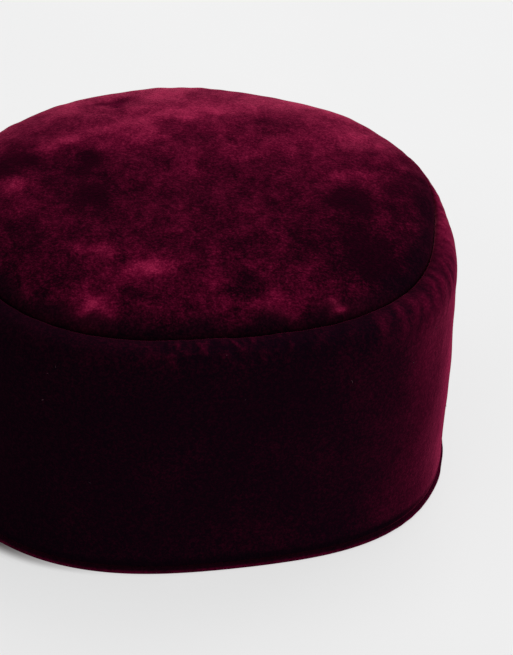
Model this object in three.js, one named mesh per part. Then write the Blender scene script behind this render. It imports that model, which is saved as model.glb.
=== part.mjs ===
// A pillbox hat of velvet: a softly domed top panel sewn inside the rolled
// shoulder of an upright band, with a narrow turned roll along the lower edge.
// Units are millimetres and +Z is up. The hat stands on its edge roll at z = 0,
// and the head goes in from below.
import * as THREE from 'three';
import { mergeVertices } from 'three/addons/utils/BufferGeometryUtils.js';

// ---- driving dimensions -------------------------------------------------

const BAND_RADIUS = 90; // mean radius of the band, just below its shoulder
const SEAM_RADIUS = 81.3; // mean radius of the seam between the band and the tip
const SEAM_HEIGHT = 80; // the seam above the surface that the hat stands on
const SHOULDER_START = 71; // where the upright wall begins to roll inward
const SHOULDER_CREST = 81.4; // top of the rolled shoulder, just above the seam
const SHOULDER_CREST_RADIUS = 83.4; // mean radius of that crest
const SHOULDER_POWERS = { across: 2.4, up: 2.4 }; // 2 and 2 is a plain ellipse, more is squarer
const TIP_RISE = 11.8; // how far the middle of the tip stands above the seam
const TIP_POWERS = { across: 3.3, up: 2 }; // flat in the middle, with a rounded rim
const CLOTH = 2.5; // velvet, its backing and stiffening together
const ROLL_HEIGHT = 3; // the turned roll along the lower edge
const ROLL_PROUD = 0.8; // how far the roll stands out past the band, and inside it
const ROLL_CORNER = 1.1; // rounding of the roll's corners
const PIECE_GAP = 0.3; // left between pieces that are sewn together

// The wall flares a little towards the lower edge.
const WALL_FLARE = [
  { height: ROLL_HEIGHT + PIECE_GAP, radius: 90.4 },
  { height: 24, radius: 90.2 },
  { height: 48, radius: 90.1 },
];

// Seen from above the hat is not a true circle. Each wave is a share of the
// radius: the second makes it oval, the third egg-shaped, and the others give it
// soft corners. Angles run from +X towards +Y.
const OUTLINE_WAVES = [
  { wave: 2, cosine: -0.011, sine: 0.007 },
  { wave: 3, cosine: 0.004, sine: -0.017 },
  { wave: 4, cosine: -0.014, sine: -0.011 },
  { wave: 5, cosine: -0.010, sine: 0.004 },
];

const TURN_STEPS = 72; // facets around the hat
const SHOULDER_STEPS = 6; // facets across the rolled shoulder
const TIP_STEPS = 9; // facets from the seam to the middle of the tip
const CORNER_STEPS = 2; // facets around each corner of the edge roll

// ---- outline ------------------------------------------------------------

// How far the outline reaches at an angle, as a share of the mean radius.
function outlineReach(angle) {
  let reach = 1;
  for (const { wave, cosine, sine } of OUTLINE_WAVES) {
    reach += cosine * Math.cos(wave * angle) + sine * Math.sin(wave * angle);
  }
  return reach;
}

// The middle of the outline's box, so that the hat can be centred on the origin.
function outlineMiddle() {
  const box = new THREE.Box2();
  for (let step = 0; step < TURN_STEPS; step += 1) {
    const angle = (2 * Math.PI * step) / TURN_STEPS;
    const radius = rollOuterRadius() * outlineReach(angle);
    box.expandByPoint(new THREE.Vector2(radius * Math.cos(angle), radius * Math.sin(angle)));
  }
  return box.getCenter(new THREE.Vector2());
}

function rollOuterRadius() {
  return WALL_FLARE[0].radius + ROLL_PROUD;
}

// ---- profiles -----------------------------------------------------------
// Each profile is a list of Vector2(radius, height) at the mean radius.

// A quarter of a superellipse, from its widest point up to its highest one.
function roundedQuarter({ innerRadius, outerRadius, low, high, powers, steps }) {
  const points = [];
  for (let step = 0; step <= steps; step += 1) {
    const angle = (Math.PI / 2) * (step / steps);
    const across = Math.max(Math.cos(angle), 0) ** (2 / powers.across);
    const up = Math.sin(angle) ** (2 / powers.up);
    points.push(new THREE.Vector2(
      step === steps ? innerRadius : innerRadius + (outerRadius - innerRadius) * across,
      low + (high - low) * up,
    ));
  }
  return points;
}

// The upright wall with its rolled shoulder, closed through its inner face.
function bandProfile() {
  const seamEdge = SEAM_RADIUS + PIECE_GAP / 2;
  const outerWall = WALL_FLARE.map(({ radius, height }) => new THREE.Vector2(radius, height));
  const outerShoulder = roundedQuarter({
    innerRadius: SHOULDER_CREST_RADIUS,
    outerRadius: BAND_RADIUS,
    low: SHOULDER_START,
    high: SHOULDER_CREST,
    powers: SHOULDER_POWERS,
    steps: SHOULDER_STEPS,
  });
  const innerShoulder = roundedQuarter({
    innerRadius: SHOULDER_CREST_RADIUS,
    outerRadius: BAND_RADIUS - CLOTH,
    low: SHOULDER_START - CLOTH,
    high: SHOULDER_CREST - CLOTH,
    powers: SHOULDER_POWERS,
    steps: SHOULDER_STEPS - 2,
  }).reverse();
  const innerWall = WALL_FLARE.map(
    ({ radius, height }) => new THREE.Vector2(radius - CLOTH, height),
  ).reverse();
  return [
    ...outerWall,
    ...outerShoulder,
    new THREE.Vector2(seamEdge, SEAM_HEIGHT),
    new THREE.Vector2(seamEdge, SEAM_HEIGHT - CLOTH),
    ...innerShoulder,
    ...innerWall,
    outerWall[0].clone(),
  ];
}

// The domed top panel, from its underside on the axis round to its top.
function tipProfile() {
  const rim = SEAM_RADIUS - PIECE_GAP / 2;
  const top = roundedQuarter({
    innerRadius: 0,
    outerRadius: rim,
    low: SEAM_HEIGHT,
    high: SEAM_HEIGHT + TIP_RISE,
    powers: TIP_POWERS,
    steps: TIP_STEPS,
  });
  const underside = roundedQuarter({
    innerRadius: 0,
    outerRadius: rim - CLOTH,
    low: SEAM_HEIGHT - CLOTH,
    high: SEAM_HEIGHT + TIP_RISE - CLOTH,
    powers: TIP_POWERS,
    steps: TIP_STEPS - 2,
  }).reverse();
  return [...underside, new THREE.Vector2(rim, SEAM_HEIGHT - CLOTH), ...top];
}

// The turned roll along the lower edge: flat below, with rounded corners.
function rollProfile() {
  const inside = WALL_FLARE[0].radius - CLOTH - ROLL_PROUD;
  const corners = [
    { radius: rollOuterRadius() - ROLL_CORNER, height: ROLL_CORNER, start: -Math.PI / 2 },
    { radius: rollOuterRadius() - ROLL_CORNER, height: ROLL_HEIGHT - ROLL_CORNER, start: 0 },
    { radius: inside + ROLL_CORNER, height: ROLL_HEIGHT - ROLL_CORNER, start: Math.PI / 2 },
    { radius: inside + ROLL_CORNER, height: ROLL_CORNER, start: Math.PI },
  ];
  const points = [];
  for (const { radius, height, start } of corners) {
    for (let step = 0; step <= CORNER_STEPS; step += 1) {
      const angle = start + (Math.PI / 2) * (step / CORNER_STEPS);
      points.push(new THREE.Vector2(
        radius + ROLL_CORNER * Math.cos(angle),
        height + ROLL_CORNER * Math.sin(angle),
      ));
    }
  }
  points.push(points[0].clone());
  return points;
}

// ---- solids -------------------------------------------------------------

// Turns a profile round the hat, and follows the outline instead of a circle.
function turnAroundOutline(profile, middle) {
  const turned = new THREE.LatheGeometry(profile, TURN_STEPS);
  turned.rotateX(Math.PI / 2);
  turned.deleteAttribute('normal');
  turned.deleteAttribute('uv');
  const geometry = mergeVertices(turned, 1e-3);
  const positions = geometry.getAttribute('position');
  for (let index = 0; index < positions.count; index += 1) {
    const x = positions.getX(index);
    const y = positions.getY(index);
    const reach = outlineReach(Math.atan2(y, x));
    positions.setXY(index, x * reach - middle.x, y * reach - middle.y);
  }
  geometry.computeVertexNormals();
  return geometry;
}

function velvet(color) {
  return new THREE.MeshStandardMaterial({ color, roughness: 0.85, metalness: 0 });
}

function namedPiece(name, geometry, material) {
  const piece = new THREE.Mesh(geometry, material);
  piece.name = name;
  return piece;
}

const middle = outlineMiddle();
const group = new THREE.Group();
group.add(namedPiece('crown_tip', turnAroundOutline(tipProfile(), middle), velvet(0x5a0a2a)));
group.add(namedPiece('side_band', turnAroundOutline(bandProfile(), middle), velvet(0x3c0519)));
group.add(namedPiece('edge_roll', turnAroundOutline(rollProfile(), middle), velvet(0x45081c)));

export default group;
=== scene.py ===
"""A velvet pillbox hat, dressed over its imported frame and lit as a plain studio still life.

Each class with a build method makes one sub-assembly: the domed tip, the upright band
with its rolled shoulder, the turned roll along the lower edge, the stitches in the
seam, the lint that velvet gathers, and the studio round them. The frame gives the size
and place of every piece. Lengths are in metres and angles in radians unless a note
says mm or degrees, and +Z is up.
"""

import logging
import math
from dataclasses import dataclass
from enum import Enum
from typing import Any, Sequence

import bpy
import numpy as np
from mathutils import Matrix, Vector


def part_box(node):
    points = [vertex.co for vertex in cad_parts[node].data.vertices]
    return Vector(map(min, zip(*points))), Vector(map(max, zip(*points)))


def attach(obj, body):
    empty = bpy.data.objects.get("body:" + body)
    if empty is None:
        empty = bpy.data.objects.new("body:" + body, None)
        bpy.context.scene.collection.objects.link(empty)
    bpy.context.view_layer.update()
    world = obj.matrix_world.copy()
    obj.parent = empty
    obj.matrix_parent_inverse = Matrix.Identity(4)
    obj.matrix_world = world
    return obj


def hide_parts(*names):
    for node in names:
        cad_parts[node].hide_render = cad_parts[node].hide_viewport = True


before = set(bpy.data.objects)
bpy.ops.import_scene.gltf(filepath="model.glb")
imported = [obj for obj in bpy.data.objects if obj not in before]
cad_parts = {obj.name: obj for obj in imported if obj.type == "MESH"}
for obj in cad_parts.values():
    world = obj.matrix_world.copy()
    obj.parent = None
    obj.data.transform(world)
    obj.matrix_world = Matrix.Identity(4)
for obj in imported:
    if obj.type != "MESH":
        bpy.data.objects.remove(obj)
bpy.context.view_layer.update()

LOG = logging.getLogger("pillbox_hat")
BODY = "root"
MM = 0.001
FULL_TURN = 2 * math.pi
PIECE_GAP = 0.3 * MM  # between pieces that are sewn together
BAND_RADIUS = 90 * MM  # about, where an angle is turned into a length round the hat
Colour = tuple[float, float, float]


class Cloth(Enum):
    """Which cloth a face shows. The value is the face's material slot on its piece."""

    VELVET = 0
    BACKING = 1


# ---- shapes ---------------------------------------------------------------


def ease(value: np.ndarray, low: float, high: float) -> np.ndarray:
    """Rises smoothly from 0 at low to 1 at high, or falls where low lies above high."""
    share = np.clip((value - low) / (high - low), 0.0, 1.0)
    return share * share * (3.0 - 2.0 * share)


def turn_between(angles: np.ndarray, start: float) -> np.ndarray:
    """How far each angle lies past a start, from 0 up to a full turn."""
    return np.mod(angles - start, FULL_TURN)


@dataclass(frozen=True)
class SoftNoise:
    """A smooth random height over space, the same in each run for the same seed."""

    wavelength: float
    seed: int
    waves: int = 30

    def at(self, places: np.ndarray) -> np.ndarray:
        """Adds up plane waves that run in random directions.

        Args:
            places: Points, with x, y and z along the last axis.

        Returns:
            A height for each point, mostly between -1 and 1.
        """
        draw = np.random.default_rng(self.seed)
        ways = draw.normal(size=(self.waves, 3))
        ways /= np.linalg.norm(ways, axis=1, keepdims=True)
        lengths = self.wavelength * draw.uniform(0.7, 1.5, self.waves)
        starts = draw.uniform(0.0, FULL_TURN, self.waves)
        phases = places @ (ways * (FULL_TURN / lengths)[:, None]).T + starts
        return np.sin(phases).sum(axis=-1) / math.sqrt(2.0 * self.waves)


def node_corners(node: str) -> np.ndarray:
    """The separate corners of a frame node's mesh.

    Args:
        node: The node's name.

    Returns:
        The corners, one to a row.
    """
    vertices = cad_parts[node].data.vertices
    flat = np.empty(len(vertices) * 3)
    vertices.foreach_get("co", flat)
    return np.unique(flat.reshape(-1, 3).round(6), axis=0)


@dataclass(frozen=True)
class Outline:
    """The hat's outline from above: a circle with a few slow waves in it."""

    centre: np.ndarray
    waves: np.ndarray

    FIRST_WAVE = 2
    LAST_WAVE = 6

    @classmethod
    def of(cls, node: str) -> "Outline":
        """Measures the outline on the ring of corners nearest to a node's middle height.

        Args:
            node: A node with a single ring of corners there.

        Returns:
            The outline, as shares of its mean radius.
        """
        corners = node_corners(node)
        low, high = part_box(node)
        level = corners[np.abs(corners[:, 2] - (low.z + high.z) / 2).argmin(), 2]
        ring = corners[np.abs(corners[:, 2] - level) < 0.1 * MM, :2]
        centre = ring.mean(axis=0)
        arms = ring - centre
        angles = np.arctan2(arms[:, 1], arms[:, 0])
        columns = [np.ones_like(angles)]
        for wave in range(cls.FIRST_WAVE, cls.LAST_WAVE + 1):
            columns += [np.cos(wave * angles), np.sin(wave * angles)]
        lengths = np.linalg.norm(arms, axis=1)
        found = np.linalg.lstsq(np.stack(columns, axis=1), lengths, rcond=None)[0]
        return cls(centre, (found[1:] / found[0]).reshape(-1, 2))

    def reach(self, angles: np.ndarray) -> np.ndarray:
        """How far the outline reaches at each angle.

        Args:
            angles: Angles from +X towards +Y.

        Returns:
            The reach, as a share of the mean radius.
        """
        total = np.ones_like(angles)
        for wave, (cosine, sine) in enumerate(self.waves, start=self.FIRST_WAVE):
            total = total + cosine * np.cos(wave * angles) + sine * np.sin(wave * angles)
        return total

    def mean_radius(self, node: str) -> float:
        """The mean radius of a node at its widest.

        Args:
            node: The node's name.

        Returns:
            The radius.
        """
        arms = node_corners(node)[:, :2] - self.centre
        angles = np.arctan2(arms[:, 1], arms[:, 0])
        return float((np.linalg.norm(arms, axis=1) / self.reach(angles)).max())

    def place(self, radii: np.ndarray, angles: np.ndarray, heights: np.ndarray) -> np.ndarray:
        """Points on the hat.

        Args:
            radii: Mean radius of each point.
            angles: Angle from +X towards +Y.
            heights: Height of each point.

        Returns:
            The points, with x, y and z along the last axis.
        """
        radii, angles, heights = np.broadcast_arrays(radii, angles, heights)
        arms = radii * self.reach(angles)
        x = self.centre[0] + arms * np.cos(angles)
        y = self.centre[1] + arms * np.sin(angles)
        return np.stack([x, y, heights], axis=-1)


def spaced(points: np.ndarray, steps: int) -> np.ndarray:
    """Spaces a line of points evenly along its length.

    Args:
        points: The line, as radius and height in each row.
        steps: How many stretches to leave between the new points.

    Returns:
        The new points, with both ends kept.
    """
    along = np.concatenate([[0.0], np.cumsum(np.linalg.norm(np.diff(points, axis=0), axis=1))])
    wanted = np.linspace(0.0, along[-1], steps + 1)
    return np.stack([np.interp(wanted, along, points[:, axis]) for axis in range(2)], axis=1)


def rounded_quarter(
    inner: float, outer: float, low: float, high: float, across: float, up: float
) -> np.ndarray:
    """A quarter of a superellipse, from its widest point up to its highest one.

    Args:
        inner: Radius of the highest point.
        outer: Radius of the widest point.
        low: Height of the widest point.
        high: Height of the highest point.
        across: Power of the radius. 2 is a plain ellipse, and more is squarer.
        up: Power of the height.

    Returns:
        Radius and height in each row.
    """
    turn = np.linspace(0.0, math.pi / 2, 181)
    radii = inner + (outer - inner) * np.clip(np.cos(turn), 0.0, 1.0) ** (2 / across)
    heights = low + (high - low) * np.sin(turn) ** (2 / up)
    return np.stack([radii, heights], axis=1)


@dataclass(frozen=True)
class Profile:
    """A cut through a piece, walked so that the open air is on the right hand.

    It either comes back to its first point or runs from the hat's axis to the axis.
    """

    radii: np.ndarray
    heights: np.ndarray
    cloths: np.ndarray

    @classmethod
    def joined(cls, *runs: tuple[np.ndarray, Cloth]) -> "Profile":
        """Joins runs of points end to end. Each run starts where the last one stopped.

        Args:
            runs: The points of each run, as radius and height, with the cloth that it shows.

        Returns:
            The whole profile, without its last point where that is the first one again.
        """
        rows = np.concatenate([runs[0][0][:1]] + [run[1:] for run, _ in runs])
        cloths = np.concatenate([np.full(len(run) - 1, cloth.value) for run, cloth in runs])
        if np.allclose(rows[0], rows[-1]):
            rows = rows[:-1]
        return cls(rows[:, 0], rows[:, 1], cloths)

    @property
    def closed(self) -> bool:
        """Whether the profile comes back to its first point."""
        return len(self.cloths) == len(self.radii)

    def outward(self) -> tuple[np.ndarray, np.ndarray]:
        """The way out of the cloth at each point.

        Returns:
            Its share of radius, and its share of height.
        """
        points = np.stack([self.radii, self.heights], axis=1)
        if self.closed:
            along = np.roll(points, -1, axis=0) - np.roll(points, 1, axis=0)
        else:
            along = np.gradient(points, axis=0)
        along /= np.linalg.norm(along, axis=1, keepdims=True)
        return along[:, 1], -along[:, 0]


class TurnedCloth:
    """Cloth that goes round the hat along its outline, raised and sunk a little all over."""

    def __init__(self, outline: Outline, profile: Profile, steps: int) -> None:
        """Works out where each corner is before the cloth is raised or sunk.

        Args:
            outline: The hat's outline from above.
            profile: The cut through this piece.
            steps: How many corners go round the hat.
        """
        self.outline = outline
        self.profile = profile
        self.steps = steps
        self.angles = np.linspace(0.0, FULL_TURN, steps, endpoint=False)[None, :]
        self.corners = outline.place(profile.radii[:, None], self.angles, profile.heights[:, None])

    @property
    def levels(self) -> np.ndarray:
        """The height of each corner."""
        return self.corners[..., 2]

    def shape(
        self, relief: np.ndarray, out: np.ndarray | float = 0.0, down: np.ndarray | float = 0.0
    ) -> None:
        """Moves every corner.

        Args:
            relief: How far it goes out of the cloth, for each row and each step round.
            out: How far it goes away from the hat's axis as well.
            down: How far it goes down as well.
        """
        across, up = self.profile.outward()
        radii = self.profile.radii[:, None] + across[:, None] * relief + out
        heights = self.profile.heights[:, None] + up[:, None] * relief - down
        self.corners = self.outline.place(radii, self.angles, heights)

    def nearest(self, angle: float, height: float) -> np.ndarray:
        """The velvet corner nearest to an angle and a height.

        Args:
            angle: Angle from +X towards +Y.
            height: Height above the surface that the hat stands on.

        Returns:
            The corner.
        """
        column = self.corners[:, int(round(angle / FULL_TURN * self.steps)) % self.steps]
        velvet = np.flatnonzero(self.profile.cloths == Cloth.VELVET.value)
        return column[velvet[np.abs(column[velvet, 2] - height).argmin()]]

    def piece(
        self, name: str, pile: dict[str, np.ndarray], materials: Sequence[bpy.types.Material]
    ) -> bpy.types.Object:
        """Makes the mesh object. A row on the hat's axis becomes a single corner.

        Args:
            name: The piece's name.
            pile: The state of the pile at each corner, with its painted shade, by the names that
                the velvet reads.
            materials: One for each kind of cloth, in the order of Cloth.

        Returns:
            The object, linked into the scene.
        """
        rows = len(self.profile.radii)
        numbers = np.arange(rows * self.steps).reshape(rows, self.steps)
        on_axis = self.profile.radii < MM * MM
        numbers[on_axis] = numbers[on_axis, :1]
        lower = numbers[: len(self.profile.cloths)]
        upper = np.roll(numbers, -1, axis=0)[: len(self.profile.cloths)]
        sides = [lower, np.roll(lower, -1, axis=1), np.roll(upper, -1, axis=1), upper]
        return mesh_piece(
            name,
            self.corners.reshape(-1, 3),
            np.stack(sides, axis=-1).reshape(-1, 4),
            np.repeat(self.profile.cloths, self.steps),
            materials,
            {kind: values.ravel() for kind, values in pile.items()},
        )


def mesh_piece(
    name: str,
    corners: np.ndarray,
    quads: np.ndarray,
    shown: np.ndarray,
    materials: Sequence[bpy.types.Material],
    marks: dict[str, np.ndarray] | None = None,
) -> bpy.types.Object:
    """Makes a smooth mesh object, and leaves out the corners that no face uses.

    Args:
        name: The object's name.
        corners: Every corner.
        quads: Corner numbers of each face. A face that repeats a number has three sides.
        shown: The material number of each face.
        materials: The object's materials.
        marks: Values at each corner that the materials read, by name.

    Returns:
        The object, linked into the scene.
    """
    used, packed = np.unique(quads, return_inverse=True)
    faces = [list(dict.fromkeys(face)) for face in packed.reshape(-1, 4).tolist()]
    mesh = bpy.data.meshes.new(name)
    mesh.from_pydata(corners[used].tolist(), [], faces)
    for kind, values in (marks or {}).items():
        attribute = mesh.attributes.new(kind, "FLOAT", "POINT")
        attribute.data.foreach_set("value", values[used].astype(np.float32))
    mesh.polygons.foreach_set("material_index", shown.astype(np.int32))
    mesh.polygons.foreach_set("use_smooth", np.ones(len(faces), dtype=bool))
    for material in materials:
        mesh.materials.append(material)
    mesh.update()
    made = bpy.data.objects.new(name, mesh)
    bpy.context.scene.collection.objects.link(made)
    return made


class Threads:
    """Short thin threads that are made together as one piece."""

    DRAWN_IN = 0.15  # how far short of a point each end stops, in radians of its rounding

    def __init__(self, radius: float, sides: int) -> None:
        """Starts with no thread.

        Args:
            radius: Each thread's radius.
            sides: How many sides go round it.
        """
        self.radius = radius
        self.sides = sides
        self.corners: list[np.ndarray] = []
        self.quads: list[np.ndarray] = []

    def add(self, route: np.ndarray) -> None:
        """Adds a closed thread along a short route, with its ends drawn in.

        Args:
            route: The points of the route, one to a row.
        """
        along = np.gradient(route, axis=0)
        along /= np.linalg.norm(along, axis=1, keepdims=True)
        side = np.cross(along, (0.0, 0.0, 1.0))
        side /= np.linalg.norm(side, axis=1, keepdims=True) + 1e-12
        over = np.cross(side, along)
        shares = np.sin(np.linspace(self.DRAWN_IN, math.pi - self.DRAWN_IN, len(route))) ** 0.5
        turns = np.linspace(0.0, FULL_TURN, self.sides, endpoint=False)[None, :, None]
        ways = np.cos(turns) * side[:, None] + np.sin(turns) * over[:, None]
        rings = route[:, None] + self.radius * shares[:, None, None] * ways
        first = sum(len(corners) for corners in self.corners)
        numbers = first + np.arange(len(route) * self.sides).reshape(len(route), self.sides)
        turned = np.roll(numbers, -1, axis=1)
        walls = np.stack([numbers[:-1], turned[:-1], turned[1:], numbers[1:]], axis=-1)
        last = numbers[-1, -1]
        caps = ((last + 1, turned[0], numbers[0]), (last + 2, numbers[-1], turned[-1]))
        self.corners.append(np.concatenate([rings.reshape(-1, 3), route[:1], route[-1:]]))
        self.quads.append(walls.reshape(-1, 4))
        for end, one, other in caps:
            middle = np.full(self.sides, end)
            self.quads.append(np.stack([middle, middle, one, other], axis=1))

    def piece(self, name: str, finish: "ThreadFinish") -> bpy.types.Object:
        """Makes the mesh object out of every thread.

        Args:
            name: The piece's name.
            finish: What the threads are made of.

        Returns:
            The object, linked into the scene.
        """
        quads = np.concatenate(self.quads)
        shown = np.zeros(len(quads))
        return mesh_piece(name, np.concatenate(self.corners), quads, shown, (finish.material(),))


# ---- finishes -------------------------------------------------------------


class Wire:
    """An output of a material's nodes, with the arithmetic that joins it to others."""

    def __init__(self, nodes: "MaterialNodes", socket: bpy.types.NodeSocket) -> None:
        """Wraps a socket of one of the material's nodes."""
        self.nodes = nodes
        self.socket = socket

    def _math(self, operation: str, first: Any, second: Any) -> "Wire":
        """Adds a Math node for two values."""
        return self.nodes.add("ShaderNodeMath", {"operation": operation}, {0: first, 1: second})

    def __add__(self, other: Any) -> "Wire":
        """This value and another, added."""
        return self._math("ADD", self, other)

    def __sub__(self, other: Any) -> "Wire":
        """This value less another."""
        return self._math("SUBTRACT", self, other)

    def __rsub__(self, other: Any) -> "Wire":
        """Another value less this one."""
        return self._math("SUBTRACT", other, self)

    def __mul__(self, other: Any) -> "Wire":
        """This value times another."""
        return self._math("MULTIPLY", self, other)

    __radd__ = __add__
    __rmul__ = __mul__


class MaterialNodes:
    """The nodes of one material, added one by one."""

    def __init__(self, name: str) -> None:
        """Starts a material with no nodes in it.

        Args:
            name: The material's name.
        """
        self.material = bpy.data.materials.new(name)
        self.material.use_nodes = True
        self.tree = self.material.node_tree
        self.tree.nodes.clear()

    def add(
        self, kind: str, settings: dict[str, Any], sockets: dict[int | str, Any], output: int = 0
    ) -> Wire:
        """Adds a node.

        Args:
            kind: The node's type.
            settings: Its properties, which are set first.
            sockets: Values or wires for its inputs, by number or name.
            output: Which output to give back.

        Returns:
            The output.
        """
        node = self.tree.nodes.new(kind)
        for name, value in settings.items():
            setattr(node, name, value)
        for key, value in sockets.items():
            if isinstance(value, Wire):
                self.tree.links.new(value.socket, node.inputs[key])
            else:
                node.inputs[key].default_value = value
        return Wire(self, node.outputs[output])

    def place(self) -> Wire:
        """Where a point is on the hat, in metres."""
        return self.add("ShaderNodeTexCoord", {}, {}, output=3)

    def noise(self, place: Wire, size: float, detail: float, output: int = 0) -> Wire:
        """Noise near 0.5, with clouds of a size, as a value (output 0) or a colour (output 1)."""
        sockets = {"Vector": place, "Scale": 1.0 / size, "Detail": detail, "Roughness": 0.55}
        return self.add("ShaderNodeTexNoise", {}, sockets, output)

    def ease(self, value: Wire, low: float, high: float) -> Wire:
        """Rises smoothly from 0 to 1 as a value goes from low to high."""
        sockets = {"Value": value, "From Min": low, "From Max": high}
        return self.add("ShaderNodeMapRange", {"interpolation_type": "SMOOTHSTEP"}, sockets)

    def blend(self, share: Wire, first: Any, second: Any) -> Wire:
        """Mixes two colours.

        Args:
            share: 0 for the first colour, 1 for the second.
            first: A colour or a wire.
            second: A colour or a wire.

        Returns:
            The mixed colour.
        """
        ends = [end if isinstance(end, Wire) else (*end, 1.0) for end in (first, second)]
        settings = {"data_type": "RGBA"}
        return self.add("ShaderNodeMix", settings, {0: share, 6: ends[0], 7: ends[1]}, output=2)

    def bump(self, height: Wire, depth: float, strength: float) -> Wire:
        """A surface direction that follows a height, of which 1 stands for the whole depth."""
        sockets = {"Height": height, "Distance": depth, "Strength": strength}
        return self.add("ShaderNodeBump", {}, sockets)

    def mark(self, name: str) -> Wire:
        """A value that a piece carries at each corner."""
        return self.add("ShaderNodeAttribute", {"attribute_name": name}, {}, output=2)

    def shader(self, sockets: dict[int | str, Any]) -> Wire:
        """A Principled shader with some of its inputs set."""
        return self.add("ShaderNodeBsdfPrincipled", {}, sockets)

    def shown(self, shader: Wire) -> bpy.types.Material:
        """Sends a shader to the material's output.

        Args:
            shader: The shader.

        Returns:
            The material, which is then whole.
        """
        node = self.tree.nodes.new("ShaderNodeOutputMaterial")
        self.tree.links.new(shader.socket, node.inputs["Surface"])
        return self.material


@dataclass(frozen=True)
class Pile:
    """How velvet looks where its pile lies one way."""

    deep: Colour  # between the tufts
    tips: Colour  # on the tufts
    bloom: float  # how strongly the tips shine at a slant
    bloom_colour: Colour
    bloom_spread: float = 0.3

    def shader(self, nodes: MaterialNodes, tufts: Wire, normal: Wire) -> Wire:
        """Adds the pile's shader.

        Args:
            nodes: The material's nodes.
            tufts: 0 between the tufts, 1 on them.
            normal: The direction that the surface faces.

        Returns:
            The shader.
        """
        sockets = {
            "Base Color": nodes.blend(tufts, self.deep, self.tips),
            "Roughness": 0.9,
            "Specular IOR Level": 0.0,
            "Sheen Weight": self.bloom,
            "Sheen Roughness": self.bloom_spread,
            "Sheen Tint": (*self.bloom_colour, 1.0),
            "Normal": normal,
        }
        return nodes.shader(sockets)


@dataclass(frozen=True)
class VelvetFinish:
    """Crushed silk velvet. Its pile lies flat in places and stands up in others, and a dark pile
    without sheen is mixed in as painted shade in seams, grooves and shaded sides, and where the nap
    is crushed.
    """

    name: str
    # the dark pile without sheen: painted shade in seams, grooves and shaded sides, and crushed nap
    shade_and_crush: Pile
    lying: Pile
    raised: Pile
    drift: float  # how much the broad clouds of the nap count
    mottle: float  # how much the small ones count
    grain: float  # how much the tufts count
    brushed: Colour = (1.0, 1.0, 1.0)  # less than 1 draws the clouds out along that axis
    low: float = 0.0  # lift at which no pile stands up
    high: float = 1.2  # lift at which all of it does

    STIR_SIZE = 7 * MM  # of the swirls that make the clouds ragged
    STIR_REACH = 5 * MM
    DRIFT_SIZE = 15 * MM
    MOTTLE_SIZE = 4.2 * MM
    TUFT_SIZE = 1.25 * MM
    SPECK_SIZE = 0.62 * MM
    DEPTH = 0.9 * MM  # of the pile's unevenness
    STRENGTH = 0.45  # how much of that shows

    def material(self) -> bpy.types.Material:
        """Builds the velvet.

        Returns:
            The material, which reads each piece's nap and its painted shade.
        """
        nodes = MaterialNodes(self.name)
        place = nodes.place()
        brushing = {0: place, 1: self.brushed}
        drawn = nodes.add("ShaderNodeVectorMath", {"operation": "MULTIPLY"}, brushing)
        stir = nodes.noise(drawn, self.STIR_SIZE, 2, output=1)
        stirring = {0: stir, 1: (self.STIR_REACH,) * 3, 2: drawn}
        ragged = nodes.add("ShaderNodeVectorMath", {"operation": "MULTIPLY_ADD"}, stirring)
        drift = nodes.noise(ragged, self.DRIFT_SIZE, 3)
        mottle = nodes.noise(ragged, self.MOTTLE_SIZE, 3)
        tufts = nodes.noise(place, self.TUFT_SIZE, 2)
        specks = nodes.noise(place, self.SPECK_SIZE, 1)
        lift = (
            nodes.mark("nap")
            + (drift - 0.5) * self.drift
            + (mottle - 0.5) * self.mottle
            + (tufts - 0.5) * self.grain
            + (specks - 0.5) * self.grain
        )
        share = nodes.ease(lift, self.low, self.high)
        lit_tufts = nodes.ease(tufts * 0.45 + specks * 0.55, 0.38, 0.72)
        height = mottle * 0.5 + tufts * 0.3 + specks * 0.2
        normal = nodes.bump(height, self.DEPTH, self.STRENGTH)
        lit_share = lit_tufts * 0.4 + share * share * 0.6
        # the dark pile is mixed in by each piece's mark: painted shade in seams, grooves and shaded
        # sides, and crushed nap on the tip
        shade_and_crush = self.shade_and_crush.shader(nodes, lit_tufts, normal)
        lying = self.lying.shader(nodes, lit_tufts, normal)
        raised = self.raised.shader(nodes, lit_share, normal)
        loose = nodes.add("ShaderNodeMixShader", {}, {0: share, 1: lying, 2: raised})
        sockets = {0: nodes.mark("shade_and_crush"), 1: loose, 2: shade_and_crush}
        return nodes.shown(nodes.add("ShaderNodeMixShader", {}, sockets))


@dataclass(frozen=True)
class BackingFinish:
    """The plain woven back of the velvet, which shows inside the hat."""

    name: str
    warp: Colour
    weft: Colour

    RIB_SCALE = 100.0  # of the wave textures, which sets the ribs 3.1 mm apart

    def material(self) -> bpy.types.Material:
        """Builds the weave out of two sets of ribs.

        Returns:
            The material.
        """
        nodes = MaterialNodes(self.name)
        place = nodes.place()
        ribs = []
        for direction in ("X", "Z"):
            settings = {"wave_type": "BANDS", "bands_direction": direction, "wave_profile": "SIN"}
            sockets = {"Vector": place, "Scale": self.RIB_SCALE, "Distortion": 0.4, "Detail": 1.0}
            ribs.append(nodes.add("ShaderNodeTexWave", settings, sockets, output=1))
        cloud = nodes.noise(place, 9 * MM, 3)
        weave = ribs[0] * ribs[1]
        colour = nodes.blend(nodes.ease(weave * 0.7 + cloud * 0.5, 0.2, 0.9), self.warp, self.weft)
        sockets = {
            "Base Color": colour,
            "Roughness": 0.85,
            "Specular IOR Level": 0.2,
            "Normal": nodes.bump(weave, 0.25 * MM, 0.6),
        }
        return nodes.shown(nodes.shader(sockets))


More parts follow.
